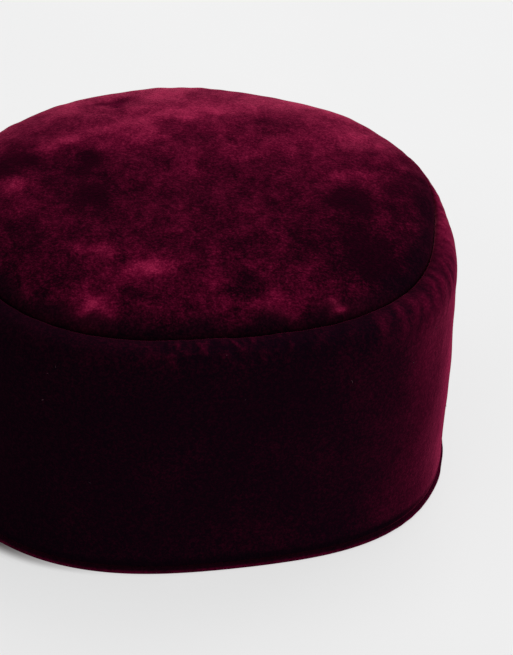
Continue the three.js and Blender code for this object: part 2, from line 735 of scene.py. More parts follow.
@dataclass(frozen=True)
class ThreadFinish:
    """Twisted sewing thread, or a fine fibre of lint."""

    name: str
    dark: Colour
    light: Colour

    def material(self) -> bpy.types.Material:
        """Builds the thread with a slight twist in its colour.

        Returns:
            The material.
        """
        nodes = MaterialNodes(self.name)
        twist = nodes.noise(nodes.place(), 0.5 * MM, 2)
        sockets = {
            "Base Color": nodes.blend(nodes.ease(twist, 0.35, 0.65), self.dark, self.light),
            "Roughness": 0.8,
            "Specular IOR Level": 0.05,
            "Normal": nodes.bump(twist, 0.08 * MM, 0.5),
        }
        return nodes.shown(nodes.shader(sockets))


@dataclass(frozen=True)
class PaperFinish:
    """Pale matt paper, lit from below, and dim where the hat keeps the light off it."""

    name: str
    shade: Colour
    light: Colour
    glow: float  # how bright the light that comes through it is

    DIM = (0.03, 0.02, 0.02)  # close against the hat, on the side away from the light

    def material(self) -> bpy.types.Material:
        """Builds the paper with a faint tooth.

        Returns:
            The material, which reads how dim each corner is.
        """
        nodes = MaterialNodes(self.name)
        place = nodes.place()
        cloud = nodes.noise(place, 180 * MM, 2)
        tooth = nodes.noise(place, 1.5 * MM, 2)
        dim = nodes.mark("dim")
        paper = nodes.blend(nodes.ease(cloud, 0.3, 0.7), self.shade, self.light)
        sockets = {
            "Base Color": nodes.blend(dim, paper, self.DIM),
            "Roughness": 0.95,
            "Specular IOR Level": 0.1,
            "Emission Color": nodes.blend(dim, (1.0, 1.0, 1.0), self.DIM),
            "Emission Strength": self.glow,
            "Normal": nodes.bump(tooth, 0.05 * MM, 0.15),
        }
        return nodes.shown(nodes.shader(sockets))


# dark pile without sheen, for painted shade in seams, grooves and shaded sides, and for crushed nap
SHADE_AND_CRUSH_PILE = Pile(
    deep=(0.0028, 0.0009, 0.0026),
    tips=(0.0060, 0.0010, 0.0036),
    bloom=0.03,
    bloom_colour=(0.60, 0.05, 0.16),
)
LYING_PILE = Pile(
    deep=(0.0032, 0.0006, 0.0022),
    tips=(0.0105, 0.0004, 0.0037),
    bloom=0.42,
    bloom_colour=(0.72, 0.024, 0.142),
)
BRUSHED_PILE = Pile(
    deep=(0.0034, 0.0011, 0.0033),
    tips=(0.0100, 0.0009, 0.0044),
    bloom=0.42,
    bloom_colour=(0.72, 0.026, 0.150),
)
RAISED_PILE = Pile(
    deep=(0.145, 0.0002, 0.0245),
    tips=(0.300, 0.0175, 0.0600),
    bloom=0.55,
    bloom_colour=(0.85, 0.160, 0.252),
)
EDGE_PILE = Pile(
    deep=(0.012, 0.0003, 0.0030),
    tips=(0.075, 0.0010, 0.0160),
    bloom=0.10,
    bloom_colour=(0.72, 0.024, 0.155),
)
TIP_VELVET = VelvetFinish(
    "tip velvet",
    SHADE_AND_CRUSH_PILE,
    LYING_PILE,
    RAISED_PILE,
    drift=0.66,
    mottle=0.56,
    grain=0.38,
    brushed=(1.0, 0.6, 1.0),
)
BAND_VELVET = VelvetFinish(
    "band velvet", SHADE_AND_CRUSH_PILE, BRUSHED_PILE, RAISED_PILE, drift=0.16, mottle=0.16, grain=0.18
)
EDGE_VELVET = VelvetFinish(
    "edge velvet", SHADE_AND_CRUSH_PILE, BRUSHED_PILE, EDGE_PILE, drift=0.5, mottle=0.4, grain=0.4
)
BACKING = BackingFinish("velvet backing", warp=(0.020, 0.003, 0.008), weft=(0.060, 0.007, 0.020))
SEAM_THREAD = ThreadFinish("seam thread", dark=(0.008, 0.001, 0.004), light=(0.030, 0.003, 0.012))
LINT_FIBRE = ThreadFinish("lint fibre", dark=(0.07, 0.030, 0.042), light=(0.14, 0.07, 0.085))
PAPER = PaperFinish(
    "studio paper", shade=(0.165, 0.165, 0.167), light=(0.175, 0.175, 0.176), glow=0.645
)


# ---- the hat --------------------------------------------------------------


def table(kind: type, columns: str, *rows: tuple[float, ...]) -> tuple[Any, ...]:
    """Reads a table whose rows all describe one kind of thing.

    Args:
        kind: The dataclass of a row.
        columns: The dataclass's fields, in the order of the table's columns.
        rows: The numbers.

    Returns:
        One item for each row.
    """
    names = columns.split()
    return tuple(kind(**dict(zip(names, row, strict=True))) for row in rows)


@dataclass(frozen=True)
class Stretch:
    """A stretch of the way round the hat, in degrees from +X."""

    start: float
    end: float
    fade: float  # over how many degrees it fades out past each end

    def share(self, angles: np.ndarray) -> np.ndarray:
        """How far each angle lies in the stretch.

        Args:
            angles: Angles from +X, in radians.

        Returns:
            1 in the stretch and 0 elsewhere, with soft ends.
        """
        middle, half = (self.start + self.end) / 2, (self.end - self.start) / 2
        away = np.abs(np.mod(np.degrees(angles) - middle + 180.0, 360.0) - 180.0)
        return ease(away, half + self.fade, half)


FRONT = Stretch(-150, -50, 35)


@dataclass(frozen=True)
class Patch:
    """A soft oval patch on a piece, where the cloth or its pile rises or sinks.

    On the tip, x is mm to the right of the middle and y is mm behind it. On the band,
    x is degrees round from +X and y is mm up.
    """

    x: float
    y: float
    length: float
    width: float
    turn: float  # degrees from x towards y
    lift: float  # at its middle

    def at(self, x: np.ndarray, y: np.ndarray) -> np.ndarray:
        """How much the patch lifts each place.

        Args:
            x: The places, on the chart that the class describes.
            y: The same.

        Returns:
            The lift of each place.
        """
        turn = math.radians(self.turn)
        x, y = x - self.x, y - self.y
        along = (x * math.cos(turn) + y * math.sin(turn)) / self.length
        aside = (y * math.cos(turn) - x * math.sin(turn)) / self.width
        return self.lift * np.exp(-(along**2 + aside**2))


# Where the pile of the tip stands up, and then where it lies flatter. The thin bright row at (47,
# -64) is a painted glint, and the dark row at (-28, 60) is painted shade in the crease there.
TIP_NAP = table(
    Patch,
    "x y length width turn lift",
    (-46, 26, 9, 4, 42, 0.36),
    (-22, 41, 15, 6, 22, 0.30),
    (-14, 32, 8, 6, 60, 0.34),
    (2, 53, 12, 6, 10, 0.36),
    (-12, 66, 6, 5, 20, 0.34),
    (-43, 57, 12, 6, 35, 0.18),
    (40, 65, 20, 5, -28, 0.22),
    (54, 40, 12, 9, -20, 0.24),
    (50, 9, 9, 6, 0, 0.26),
    (26, 8, 6, 5, 0, 0.14),
    (-59, 0, 7, 4, 70, 0.32),
    (0, 5, 9, 6, 20, 0.14),
    (12, 22, 18, 7, 10, 0.12),
    (-30, -43, 8, 4, -20, 0.30),
    (-13, -53, 5.5, 5, 20, 0.48),
    (-22, -58, 4, 7, -30, 0.22),
    (-30, -71, 4.5, 7, 0, 0.58),
    (6, -61, 11, 5, 0, 0.10),
    (28, -67, 7, 5, 0, 0.34),
    (39, -46, 4, 9, 0, 0.16),
    # painted glint
    (47, -64, 5.5, 1.2, 12, 0.55),
    (24, 62, 7, 5, 0, 0.14),
    # painted shade in the crease at (-26, 61)
    (-28, 60, 5.5, 2.8, 12, -0.62),
    (-61, 14, 7, 9, 0, -0.62),
    (-35, 11, 5.5, 10, 0, -0.42),
    (-30, -10, 7, 9, 0, -0.38),
    (-24, -24, 6, 8, 0, -0.12),
    (-46, -12, 5, 6, 0, -0.12),
    (-52, -30, 6, 7, 0, -0.20),
    (-60, -50, 10, 8, -35, -0.12),
    (23, 43, 8, 8, 0, -0.30),
    (31, -11, 10, 6, 0, -0.14),
    (18, -61, 5, 6, 0, -0.26),
    (-44, -34, 6, 6, 0, -0.12),
    (-46, -63, 6, 6, 0, -0.14),
    (33, 42, 6, 5, 0, -0.14),
    (53, -7, 6, 7, 0, -0.58),
    (25, -39, 8, 7, 0, -0.14),
    (60, -36, 17, 16, 20, -0.30),
    (70, 4, 9, 22, 0, -0.14),
)

# Soft narrow dents in the tip, with their depth in mm as a negative lift.
TIP_CREASES = table(
    Patch,
    "x y length width turn lift",
    (-26, 61, 8, 3.5, 12, -0.5),
    (-36, 8, 12, 6, 70, -0.5),
    (27, 48, 12, 6, 80, -0.5),
    (60, -42, 16, 8, 40, -0.5),
    (42, -58, 9, 1.8, 22, -0.5),
)


@dataclass(frozen=True)
class Gather:
    """A stretch of the seam where the band's cloth is eased in and puckers below it."""

    start: float  # degrees from +X
    end: float
    spacing: float  # mm between folds
    length: float  # mm that a fold runs on for
    depth: float  # mm
    reach: float  # mm down the band
    lean: float  # how far the folds slant, as a share of their length
    seed: int

    def at(self, angles: np.ndarray, drop: np.ndarray) -> np.ndarray:
        """How far each place rises or sinks.

        Args:
            angles: Angle of each step round.
            drop: How far each row lies below the seam, along the cloth.

        Returns:
            The relief, by row and step.
        """
        span = math.radians(self.end - self.start)
        past = turn_between(angles, math.radians(self.start))
        inside = ease(past, 0.0, 0.25 * span) * ease(past, span, 0.75 * span)
        across = past * BAND_RADIUS + self.lean * drop
        chart = np.broadcast_arrays(across, drop * self.spacing / self.length, 0.0)
        folds = SoftNoise(self.spacing * MM, self.seed).at(np.stack(chart, axis=-1))
        below_seam = ease(drop, 1.5 * MM, 5.0 * MM)
        fades = ease(drop, self.reach * MM, 0.35 * self.reach * MM) * below_seam
        return self.depth * MM * inside * fades * folds


GATHERS = table(
    Gather,
    "start end spacing length depth reach lean seed",
    (-72, -34, 5.0, 18, 0.16, 22, 0.15, 35),
    (-46, -10, 4.6, 9, 0.15, 22, 0.40, 36),
    (-20, 30, 3.6, 6, 0.13, 18, 0.50, 37),
    (-102, -56, 3.2, 4.5, 0.24, 17, -0.50, 38),
    (34, 86, 5.0, 18, 0.10, 16, 0.20, 39),
    (86, 150, 5.5, 18, 0.12, 15, -0.15, 40),
    (150, 220, 5.0, 20, 0.18, 18, 0.15, 42),
)


@dataclass(frozen=True)
class RingShift:
    """Where a line round the hat leaves its even ring, at one angle."""

    angle: float  # degrees from +X
    out: float  # mm further from the axis
    down: float = 0.0  # mm lower


SEAM_SHIFTS = table(
    RingShift,
    "angle out down",
    (-150, -2.0, -0.5),
    (-120, -1.7, -0.5),
    (-90, -1.3, -0.5),
    (-30, -1.2, -0.5),
    (-16, -0.5, -0.3),
    (-5, 0.8, 0.0),
    (4, 2.4, 0.3),
    (12, 4.8, 0.9),
    (19, 6.8, 1.5),
    (45, 7.0, 1.5),
    (65, 6.5, 1.1),
    (90, 5.7, 0.8),
    (125, 5.7, 0.8),
    (150, 5.0, 0.8),
    (180, 1.5, 0.2),
)

EDGE_SHIFTS = table(
    RingShift,
    "angle out",
    (-180, 0.4),
    (-150, 1.9),
    (-122, 1.9),
    (-90, 1.4),
    (-66, 1.1),
    (-48, 1.5),
    (-36, 1.1),
    (-20, 0.1),
    (40, 0.0),
)


def shift(angles: np.ndarray, rows: Sequence[RingShift]) -> tuple[np.ndarray, np.ndarray]:
    """How far a line round the hat lies outside and below its even ring.

    Args:
        angles: Angles from +X.
        rows: The shift at a few angles. It runs softly from each one to the next.

    Returns:
        The distance out and the distance down at each angle.
    """
    known = [row.angle for row in rows]
    nearby = [np.degrees(angles) + step for step in range(-12, 13, 2)]
    shifts = []
    for column in ([row.out for row in rows], [row.down for row in rows]):
        spread = [np.interp(degrees, known, column, period=360) for degrees in nearby]
        shifts.append(MM * np.mean(spread, axis=0))
    return shifts[0], shifts[1]


def show(piece: bpy.types.Object, node: str | None) -> None:
    """Joins a piece to the frame and reports it.

    Args:
        piece: The piece.
        node: The frame node that it stands for, if there is one.
    """
    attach(piece, BODY)
    if node is not None:
        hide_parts(node)
    mesh = piece.data
    LOG.info("%s: %d corners, %d faces", piece.name, len(mesh.vertices), len(mesh.polygons))


@dataclass
class CrownTip:
    """The top panel: velvet that domes softly and puffs up just inside its seam."""

    outline: Outline
    cloth: float = 2.5 * MM
    across_power: float = 3.3
    up_power: float = 2.0
    rounding: float = 0.5 * MM  # of the rim's lower edge
    steps: int = 640
    top_rows: int = 108
    under_rows: int = 14
    edge_rows: int = 6
    swell: float = 0.30 * MM  # soft unevenness all over
    pucker: float = 0.12 * MM  # ripples at the rim
    nap_level: float = 0.26
    painted_back_light: float = 0.34  # painted light: how much further the pile is set up towards the back, so the back shows lighter
    stray: float = 2.2  # mm that the patches of nap stray, so that they are not ovals

    NODE = "crown_tip"
    FRONT = Stretch(-150, 0, 50)
    SWELLS = (SoftNoise(34 * MM, 11), SoftNoise(14 * MM, 12))
    RIPPLES = (SoftNoise(6.5 * MM, 13), SoftNoise(40 * MM, 14))
    STRAYS = (SoftNoise(10 * MM, 21), SoftNoise(10 * MM, 22))
    RAGGED_RIM = SoftNoise(13 * MM, 23)
    PUCKERED = (0.84, 0.97)  # shares of the radius between which the ripples come up
    FRONT_RIM_SHADE = (0.88, 0.985)  # shares of the radius between which the front rim takes painted shade
    LIT_NAP = (0.95, 0.50)  # a nap that stays lit there, and one that doesn't
    CRUSHED_NAP = (-0.08, -0.38)  # a nap that is not crushed at all, and one that is wholly

    @property
    def rim(self) -> float:
        """Mean radius of the rim."""
        return self.outline.mean_radius(self.NODE)

    @property
    def seam(self) -> float:
        """Height of the seam."""
        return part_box(self.NODE)[0].z + self.cloth

    def share(self, cloth: TurnedCloth) -> np.ndarray:
        """How far out each row lies: 0 on the axis and 1 at the rim."""
        return cloth.profile.radii[:, None] / self.rim

    def profile(self) -> Profile:
        """Draws the cut through the tip, from the axis below round to the axis above.

        Returns:
            The cut, whose ends lie on the axis.
        """
        low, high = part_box(self.NODE)
        powers = (self.across_power, self.up_power)
        top = rounded_quarter(0.0, self.rim, self.seam, high.z, *powers)
        inner = self.rim - self.cloth
        under = rounded_quarter(0.0, inner, low.z, high.z - self.cloth, *powers)[::-1]
        corner = [(self.rim - self.rounding, low.z), (self.rim, low.z + self.rounding)]
        edge = np.array([under[-1], *corner])
        tucked = np.array([edge[-1], (self.rim, self.seam)])
        return Profile.joined(
            (spaced(under, self.under_rows), Cloth.BACKING),
            (spaced(edge, self.edge_rows), Cloth.BACKING),
            (spaced(np.concatenate([tucked, top[1:]]), self.top_rows), Cloth.VELVET),
        )

    def relief(self, cloth: TurnedCloth) -> np.ndarray:
        """How far each corner stands out of the smooth dome.

        Args:
            cloth: The tip's cloth, still smooth.

        Returns:
            The relief, by row and step.
        """
        broad, small = (noise.at(cloth.corners) for noise in self.SWELLS)
        ring = self.outline.place(np.array([[self.rim]]), cloth.angles, np.zeros((1, 1)))
        fine, slow = (noise.at(ring) for noise in self.RIPPLES)
        near_rim = ease(self.share(cloth), *self.PUCKERED)
        ripples = fine * (1.0 + 0.8 * slow)
        relief = self.swell * (broad + 0.45 * small) + self.pucker * ripples * near_rim
        for crease in TIP_CREASES:
            relief = relief + crease.at(cloth.corners[..., 0] / MM, cloth.corners[..., 1] / MM) * MM
        on_top = ease(cloth.levels, self.seam, self.seam + 2.5 * MM)
        top_side = np.arange(len(cloth.profile.radii))[:, None] > self.under_rows + self.edge_rows
        return np.where(top_side, relief * on_top, 0.0)

    def nap(self, cloth: TurnedCloth) -> np.ndarray:
        """How far the pile stands up.

        Args:
            cloth: The tip's cloth, still smooth.

        Returns:
            The lift of the pile at each corner, mostly from 0 to 1.
        """
        x, y = (
            cloth.corners[..., axis] / MM + self.stray * noise.at(cloth.corners)
            for axis, noise in enumerate(self.STRAYS)
        )
        # painted light: the pile is set higher towards the back of the tip, so the back shows
        # lighter
        total = self.nap_level + self.painted_back_light * ease(y, -8.0, 80.0)
        for patch in TIP_NAP:
            total = total + patch.at(x, y)
        return total

    def shade_and_crush(self, cloth: TurnedCloth, nap: np.ndarray) -> np.ndarray:
        """How much of the dark pile is mixed in: painted shade in the seam and at the front rim,
        and crushed pile where the nap is flattest.

        Args:
            cloth: The tip's cloth.
            nap: How far the pile stands up. Where it stands highest the front rim keeps no painted
                shade.

        Returns:
            A share for each corner.
        """
        front = self.FRONT.share(cloth.angles)
        # painted shade in the seam, deeper in front
        sunk = ease(cloth.levels, self.seam + 2.0 * MM, self.seam + 0.3 * MM) * (0.5 + 0.5 * front)
        # painted shade on the front rim, where it curves down to the seam
        out = self.share(cloth) + 0.025 * self.RAGGED_RIM.at(cloth.corners)
        front_rim_shade = 0.85 * ease(out, *self.FRONT_RIM_SHADE) * ease(nap, *self.LIT_NAP) * front
        crushed = 0.45 * ease(nap, *self.CRUSHED_NAP)
        return np.maximum.reduce([sunk, front_rim_shade, crushed])

    def build(self) -> None:
        """Makes the tip and joins it to the frame."""
        cloth = TurnedCloth(self.outline, self.profile(), self.steps)
        nap = self.nap(cloth)
        pile = {"nap": nap, "shade_and_crush": self.shade_and_crush(cloth, nap)}
        out, down = shift(cloth.angles, SEAM_SHIFTS)
        cloth.shape(self.relief(cloth), out * self.share(cloth) ** 6, down * self.share(cloth) ** 8)
        piece = cloth.piece("crown_tip_velvet", pile, (TIP_VELVET.material(), BACKING.material()))
        show(piece, self.NODE)


@dataclass
class SideBand:
    """The upright wall, whose upper edge rolls inward as a soft shoulder down to the seam."""

    outline: Outline
    cloth: float = 2.5 * MM
    flare: float = 0.4 * MM  # how much wider the foot is than the wall below the shoulder
    shoulder_rise: float = 10.4 * MM
    crest_inset: float = 6.6 * MM
    crest_power: float = 2.4
    seam_drop: float = 1.5 * MM
    seam_depth: float = 3.7 * MM  # how far the velvet runs down in the seam, from the crest
    allowance_depth: float = 4.4 * MM  # how far the seam allowance lies below the crest
    allowance: float = 0.6 * MM  # its thickness
    turned_in: float = 1.8 * MM  # how far it runs in from the seam, under the tip
    allowance_root: float = 0.8 * MM  # how far it starts outside the seam
    tuck: float = 0.35 * MM  # how far the foot is drawn in above the edge roll
    tuck_height: float = 1.4 * MM
    overlap: float = 0.7 * MM  # how far the foot runs on, over the gap and into the edge roll
    kick_height: float = 16 * MM  # how high up the wall follows the lower edge's shifts
    steps: int = 720
    wall_rows: int = 62
    shoulder_rows: int = 42
    allowance_rows: int = 14
    under_rows: int = 6
    inner_rows: int = 9
    swell: float = 0.28 * MM
    ripple: float = 0.06 * MM  # fine unevenness beside the seam
    belly: float = 0.8 * MM  # how far the right side bows out half way up
    nap_level: float = 0.30
    shoulder_nap: float = 0.14  # how much further the pile stands up on the shoulder

    NODE = "side_band"
    SWELLS = (SoftNoise(38 * MM, 32), SoftNoise(12 * MM, 33))
    RIPPLES = SoftNoise(5 * MM, 34)
    CLOUDS = SoftNoise(26 * MM, 41)
    BOWED = Stretch(-30, 60, 30)
    # stretches of painted shade: on the crest beside the seam at the right, and over the whole band
    # at the left, away from the lights
    SHADED_RIGHT = Stretch(-40, 20, 20)
    SHADED_LEFT = Stretch(-175, -128, 34)
    # where the band's pile is set low in front, on the side away from the lights: painted shade
    SHADED_FRONT = Stretch(-150, -62, 34)
    # How the nap of the shoulder differs in some stretches. The drop in front is painted shade, and
    # the rise from -4 to 24 degrees is painted sheen on the right shoulder.
    SHOULDER_LIFTS = (
        (SHADED_FRONT, -0.08),
        (Stretch(-62, -49, 8), -0.12),
        (Stretch(-34, -20, 8), -0.15),
        # painted sheen on the right shoulder
        (Stretch(-4, 24, 10), 0.14),
    )
    FOOT_PATCH = Patch(x=-77, y=12, length=9, width=8, turn=0, lift=0.06)

    @property
    def wall(self) -> float:
        """Mean radius of the wall below the shoulder."""
        return self.outline.mean_radius(self.NODE) - self.flare

    @property
    def shoulder_start(self) -> float:
        """Height at which the wall begins to roll inward."""
        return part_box(self.NODE)[1].z - self.shoulder_rise

    @property
    def outside_rows(self) -> int:
        """How many rows of faces lie outside, from the foot up to the seam."""
        return self.wall_rows + self.shoulder_rows

    def velvet_lines(self, seam: float) -> tuple[np.ndarray, np.ndarray]:
        """The outside of the band in the cut.

        Args:
            seam: Mean radius of the seam.

        Returns:
            The wall from its foot up, and the shoulder from there down into the seam.
        """
        low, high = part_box(self.NODE)
        foot = low.z - self.overlap
        start, crest = self.shoulder_start, self.wall - self.crest_inset
        rise = np.linspace(0.0, 1.0, 40)
        drawn_in = self.tuck * np.exp(-rise * (start - foot) / self.tuck_height)
        radii = self.wall + self.flare - self.flare * rise - drawn_in
        wall = np.stack([radii, foot + (start - foot) * rise], axis=1)
        powers = (self.crest_power, self.crest_power)
        shoulder = rounded_quarter(crest, self.wall, start, high.z, *powers)
        turn = np.linspace(0.0, math.pi / 2, 24)
        roll_radii = crest - (crest - seam) * np.sin(turn)
        inner_roll = np.stack([roll_radii, high.z - self.seam_drop * (1 - np.cos(turn))], axis=1)
        return wall, np.concatenate([shoulder, inner_roll[1:], [(seam, high.z - self.seam_depth)]])

    def profile(self) -> Profile:
        """Draws the cut through the band, from its foot up the outside and down the inside.

        Returns:
            The cut, which comes back to the foot.
        """
        low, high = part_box(self.NODE)
        seam = self.outline.mean_radius(CrownTip.NODE) + PIECE_GAP
        wall, shoulder = self.velvet_lines(seam)
        under = rounded_quarter(
            self.wall - self.crest_inset,
            self.wall - self.cloth,
            self.shoulder_start - self.cloth,
            high.z - self.cloth,
            self.crest_power,
            self.crest_power,
        )[::-1]
        above = high.z - self.allowance_depth
        below = above - self.allowance
        allowance = [
            (seam, above),
            (seam - self.turned_in, above),
            (seam - self.turned_in, below),
            (seam + self.allowance_root, below),
        ]
        turned = np.array([shoulder[-1], *allowance, under[0]])
        foot = (self.wall + self.flare - self.cloth, low.z - self.overlap)
        return Profile.joined(
            (spaced(wall, self.wall_rows), Cloth.VELVET),
            (spaced(shoulder, self.shoulder_rows), Cloth.VELVET),
            (spaced(turned, self.allowance_rows), Cloth.BACKING),
            (spaced(under, self.under_rows), Cloth.BACKING),
            (spaced(np.array([under[-1], foot, wall[0]]), self.inner_rows), Cloth.BACKING),
        )

    def drop(self, cloth: TurnedCloth) -> np.ndarray:
        """How far each row lies from the seam, along the cloth.

        Args:
            cloth: The band's cloth.

        Returns:
            A distance for each row.
        """
        points = np.stack([cloth.profile.radii, cloth.profile.heights], axis=1)
        lengths = np.linalg.norm(np.diff(points, axis=0), axis=1)
        along = np.concatenate([[0.0], np.cumsum(lengths)])
        return np.abs(along[self.outside_rows] - along)[:, None]

    def relief(self, cloth: TurnedCloth) -> np.ndarray:
        """How far each corner stands out of the smooth band.

        Args:
            cloth: The band's cloth, still smooth.

        Returns:
            The relief, by row and step.
        """
        drop = self.drop(cloth)
        broad, small = (noise.at(cloth.corners) for noise in self.SWELLS)
        ring = self.outline.place(np.array([[BAND_RADIUS]]), cloth.angles, np.zeros((1, 1)))
        ripples = self.RIPPLES.at(ring) * ease(drop, 9 * MM, 1 * MM)
        relief = self.swell * (broad + 0.35 * small) + self.ripple * ripples
        for gather in GATHERS:
            relief = relief + gather.at(cloth.angles, drop)
        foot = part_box(self.NODE)[0].z
        rise = np.clip((cloth.levels - foot) / (self.shoulder_start - foot), 0.0, 1.0)
        relief = relief + self.belly * np.sin(math.pi * rise) ** 2 * self.BOWED.share(cloth.angles)
        ends = ease(cloth.levels, foot, foot + 4 * MM) * ease(drop, 0.0, 2.2 * MM)
        outside = np.arange(len(cloth.profile.radii))[:, None] <= self.outside_rows
        return np.where(outside, relief * ends, 0.0)

    def shade_and_crush(self, cloth: TurnedCloth) -> np.ndarray:
        """How much of the dark pile is mixed in, all of it painted shade: in the seam, on the
        crest, at the left, above the roll.

        Args:
            cloth: The band's cloth, still smooth.

        Returns:
            A share for each corner.
        """
        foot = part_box(self.NODE)[0].z
        front, right = FRONT.share(cloth.angles), self.SHADED_RIGHT.share(cloth.angles)
        drop = self.drop(cloth)
        # painted shade in the seam, on the crest beside it, on the left side away from the lights,
        # and in the groove above the roll
        shares = (
            ease(drop, 3.2 * MM, 1.4 * MM) * (0.5 + 0.5 * front),
            ease(drop, 8.0 * MM, 2.0 * MM) * (0.9 * front + 0.5 * right * (1.0 - front)),
            0.75 * self.SHADED_LEFT.share(cloth.angles),
            ease(cloth.levels, foot + 3.4 * MM, foot + 1.4 * MM) * (0.35 + 0.65 * front),
        )
        return np.maximum.reduce(np.broadcast_arrays(*shares))

    def settle(self, cloth: TurnedCloth) -> tuple[np.ndarray, np.ndarray]:
        """How far each corner follows the seam and the lower edge off their even rings.

        Args:
            cloth: The band's cloth.

        Returns:
            The distance out and the distance down.
        """
        out, down = shift(cloth.angles, SEAM_SHIFTS)
        radii, heights = cloth.profile.radii[:, None], cloth.profile.heights[:, None]
        seam = self.outline.mean_radius(CrownTip.NODE)
        inset = np.clip((self.wall - radii) / (self.wall - seam), 0.0, 1.0)
        rise = np.clip((heights - self.shoulder_start + self.cloth) / self.shoulder_rise, 0.0, 1.0)
        kick = shift(cloth.angles, EDGE_SHIFTS)[0] * ease(heights, self.kick_height, 0.0)
        return kick + out * inset * ease(rise, 0.0, 0.3), (down + 0.25 * out) * rise

    def nap(self, cloth: TurnedCloth) -> np.ndarray:
        """How far the pile stands up. It is set low in front, away from the lights, as painted
        shade, and rises and falls with the folds as painted light and shade.

        Args:
            cloth: The band's cloth, still smooth.

        Returns:
            The lift of the pile at each corner, mostly from 0 to 1.
        """
        drop = self.drop(cloth)
        total = self.nap_level + 0.05 * self.CLOUDS.at(cloth.corners)
        # painted shade: the pile is set lower on the front, away from the lights
        total = total - 0.27 * self.SHADED_FRONT.share(cloth.angles)
        lifts = sum(lift * stretch.share(cloth.angles) for stretch, lift in self.SHOULDER_LIFTS)
        total = total + (self.shoulder_nap + lifts) * ease(drop, 22 * MM, 5 * MM)
        # painted light and shade on the folds: the pile is set higher where a fold stands out and
        # lower where it sinks
        for gather in GATHERS:
            total = total + 0.9 * gather.at(cloth.angles, drop) / MM
        degrees = np.degrees(np.mod(cloth.angles + math.pi, FULL_TURN)) - 180.0
        return total + self.FOOT_PATCH.at(degrees, cloth.levels / MM)

    def build(self) -> TurnedCloth:
        """Makes the band and joins it to the frame.

        Returns:
            The band's cloth, as it is shaped.
        """
        cloth = TurnedCloth(self.outline, self.profile(), self.steps)
        pile = {"nap": self.nap(cloth), "shade_and_crush": self.shade_and_crush(cloth)}
        cloth.shape(self.relief(cloth), *self.settle(cloth))
        piece = cloth.piece("side_band_velvet", pile, (BAND_VELVET.material(), BACKING.material()))
        show(piece, self.NODE)
        return cloth


@dataclass
class EdgeRoll:
    """The lower edge, turned under in a tight roll that the hat stands on."""

    outline: Outline
    width: float = 4.1 * MM
    inset: float = 0.30 * MM  # how far its outside lies within the frame's roll
    squareness: float = 2.3
    waver: float = 0.10 * MM  # unevenness of a roll that is sewn by hand
    steps: int = 720
    rows: int = 30

    NODE = "edge_roll"
    WAVERS = (SoftNoise(18 * MM, 51), SoftNoise(6 * MM, 52))
    NAP = SoftNoise(14 * MM, 53)

    def rounded(self, share: np.ndarray) -> np.ndarray:
        """Squares a sine or cosine up a little, with its sign kept."""
        return np.sign(share) * np.abs(share) ** (2 / self.squareness)

    def build(self) -> None:
        """Makes the roll and joins it to the frame."""
        low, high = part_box(self.NODE)
        middle = self.outline.mean_radius(self.NODE) - self.inset - self.width / 2
        turn = np.linspace(0.0, FULL_TURN, 241)
        radii = middle + self.rounded(np.cos(turn)) * self.width / 2
        heights = low.z + (high.z - low.z) / 2 * (1.0 + self.rounded(np.sin(turn)))
        loop = np.stack([radii, heights], axis=1)
        profile = Profile.joined((spaced(loop, self.rows), Cloth.VELVET))
        cloth = TurnedCloth(self.outline, profile, self.steps)
        broad, small = (noise.at(cloth.corners) for noise in self.WAVERS)
        off_ground = ease(cloth.levels, low.z + 0.3 * MM, low.z + 1.2 * MM)
        # painted shade in the groove along the roll's upper side, under the band's foot, deeper in
        # front
        upper = ease(cloth.levels, low.z + 1.5 * MM, low.z + 2.2 * MM)
        pile = {
            "nap": 0.9 + 0.1 * self.NAP.at(cloth.corners),
            "shade_and_crush": upper * (0.5 + 0.4 * FRONT.share(cloth.angles)),
        }
        relief = self.waver * (broad + 0.6 * small) * off_ground
        cloth.shape(relief, shift(cloth.angles, EDGE_SHIFTS)[0])
        piece = cloth.piece("edge_roll_velvet", pile, (EDGE_VELVET.material(),))
        show(piece, self.NODE)


@dataclass
class SeamStitches:
    """Small slip stitches sunk in the seam between the tip and the band."""

    outline: Outline
    count: int = 168
    length: float = 1.5 * MM
    thread: float = 0.22 * MM
    sink: float = 0.25 * MM
    lean: float = 0.25 * MM  # how far each end lies to one side of the seam

    def build(self) -> None:
        """Makes every stitch, all in one piece."""
        seam = self.outline.mean_radius(CrownTip.NODE) + PIECE_GAP / 2
        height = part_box(SideBand.NODE)[1].z - SideBand.seam_drop - self.sink
        draw = np.random.default_rng(61)
        threads = Threads(self.thread / 2, sides=6)
        for number in range(self.count):
            middle = FULL_TURN * (number + draw.uniform(-0.2, 0.2)) / self.count
            half = self.length * draw.uniform(0.7, 1.2) / 2 / seam
            angles = np.linspace(middle - half, middle + half, 5)
            lean = np.linspace(-self.lean, self.lean, 5)
            arch = self.sink * np.sin(np.linspace(0.0, math.pi, 5))
            out, down = shift(angles, SEAM_SHIFTS)
            threads.add(self.outline.place(seam + lean + out, angles, height + arch - down))
        show(threads.piece("seam_stitches", SEAM_THREAD), None)


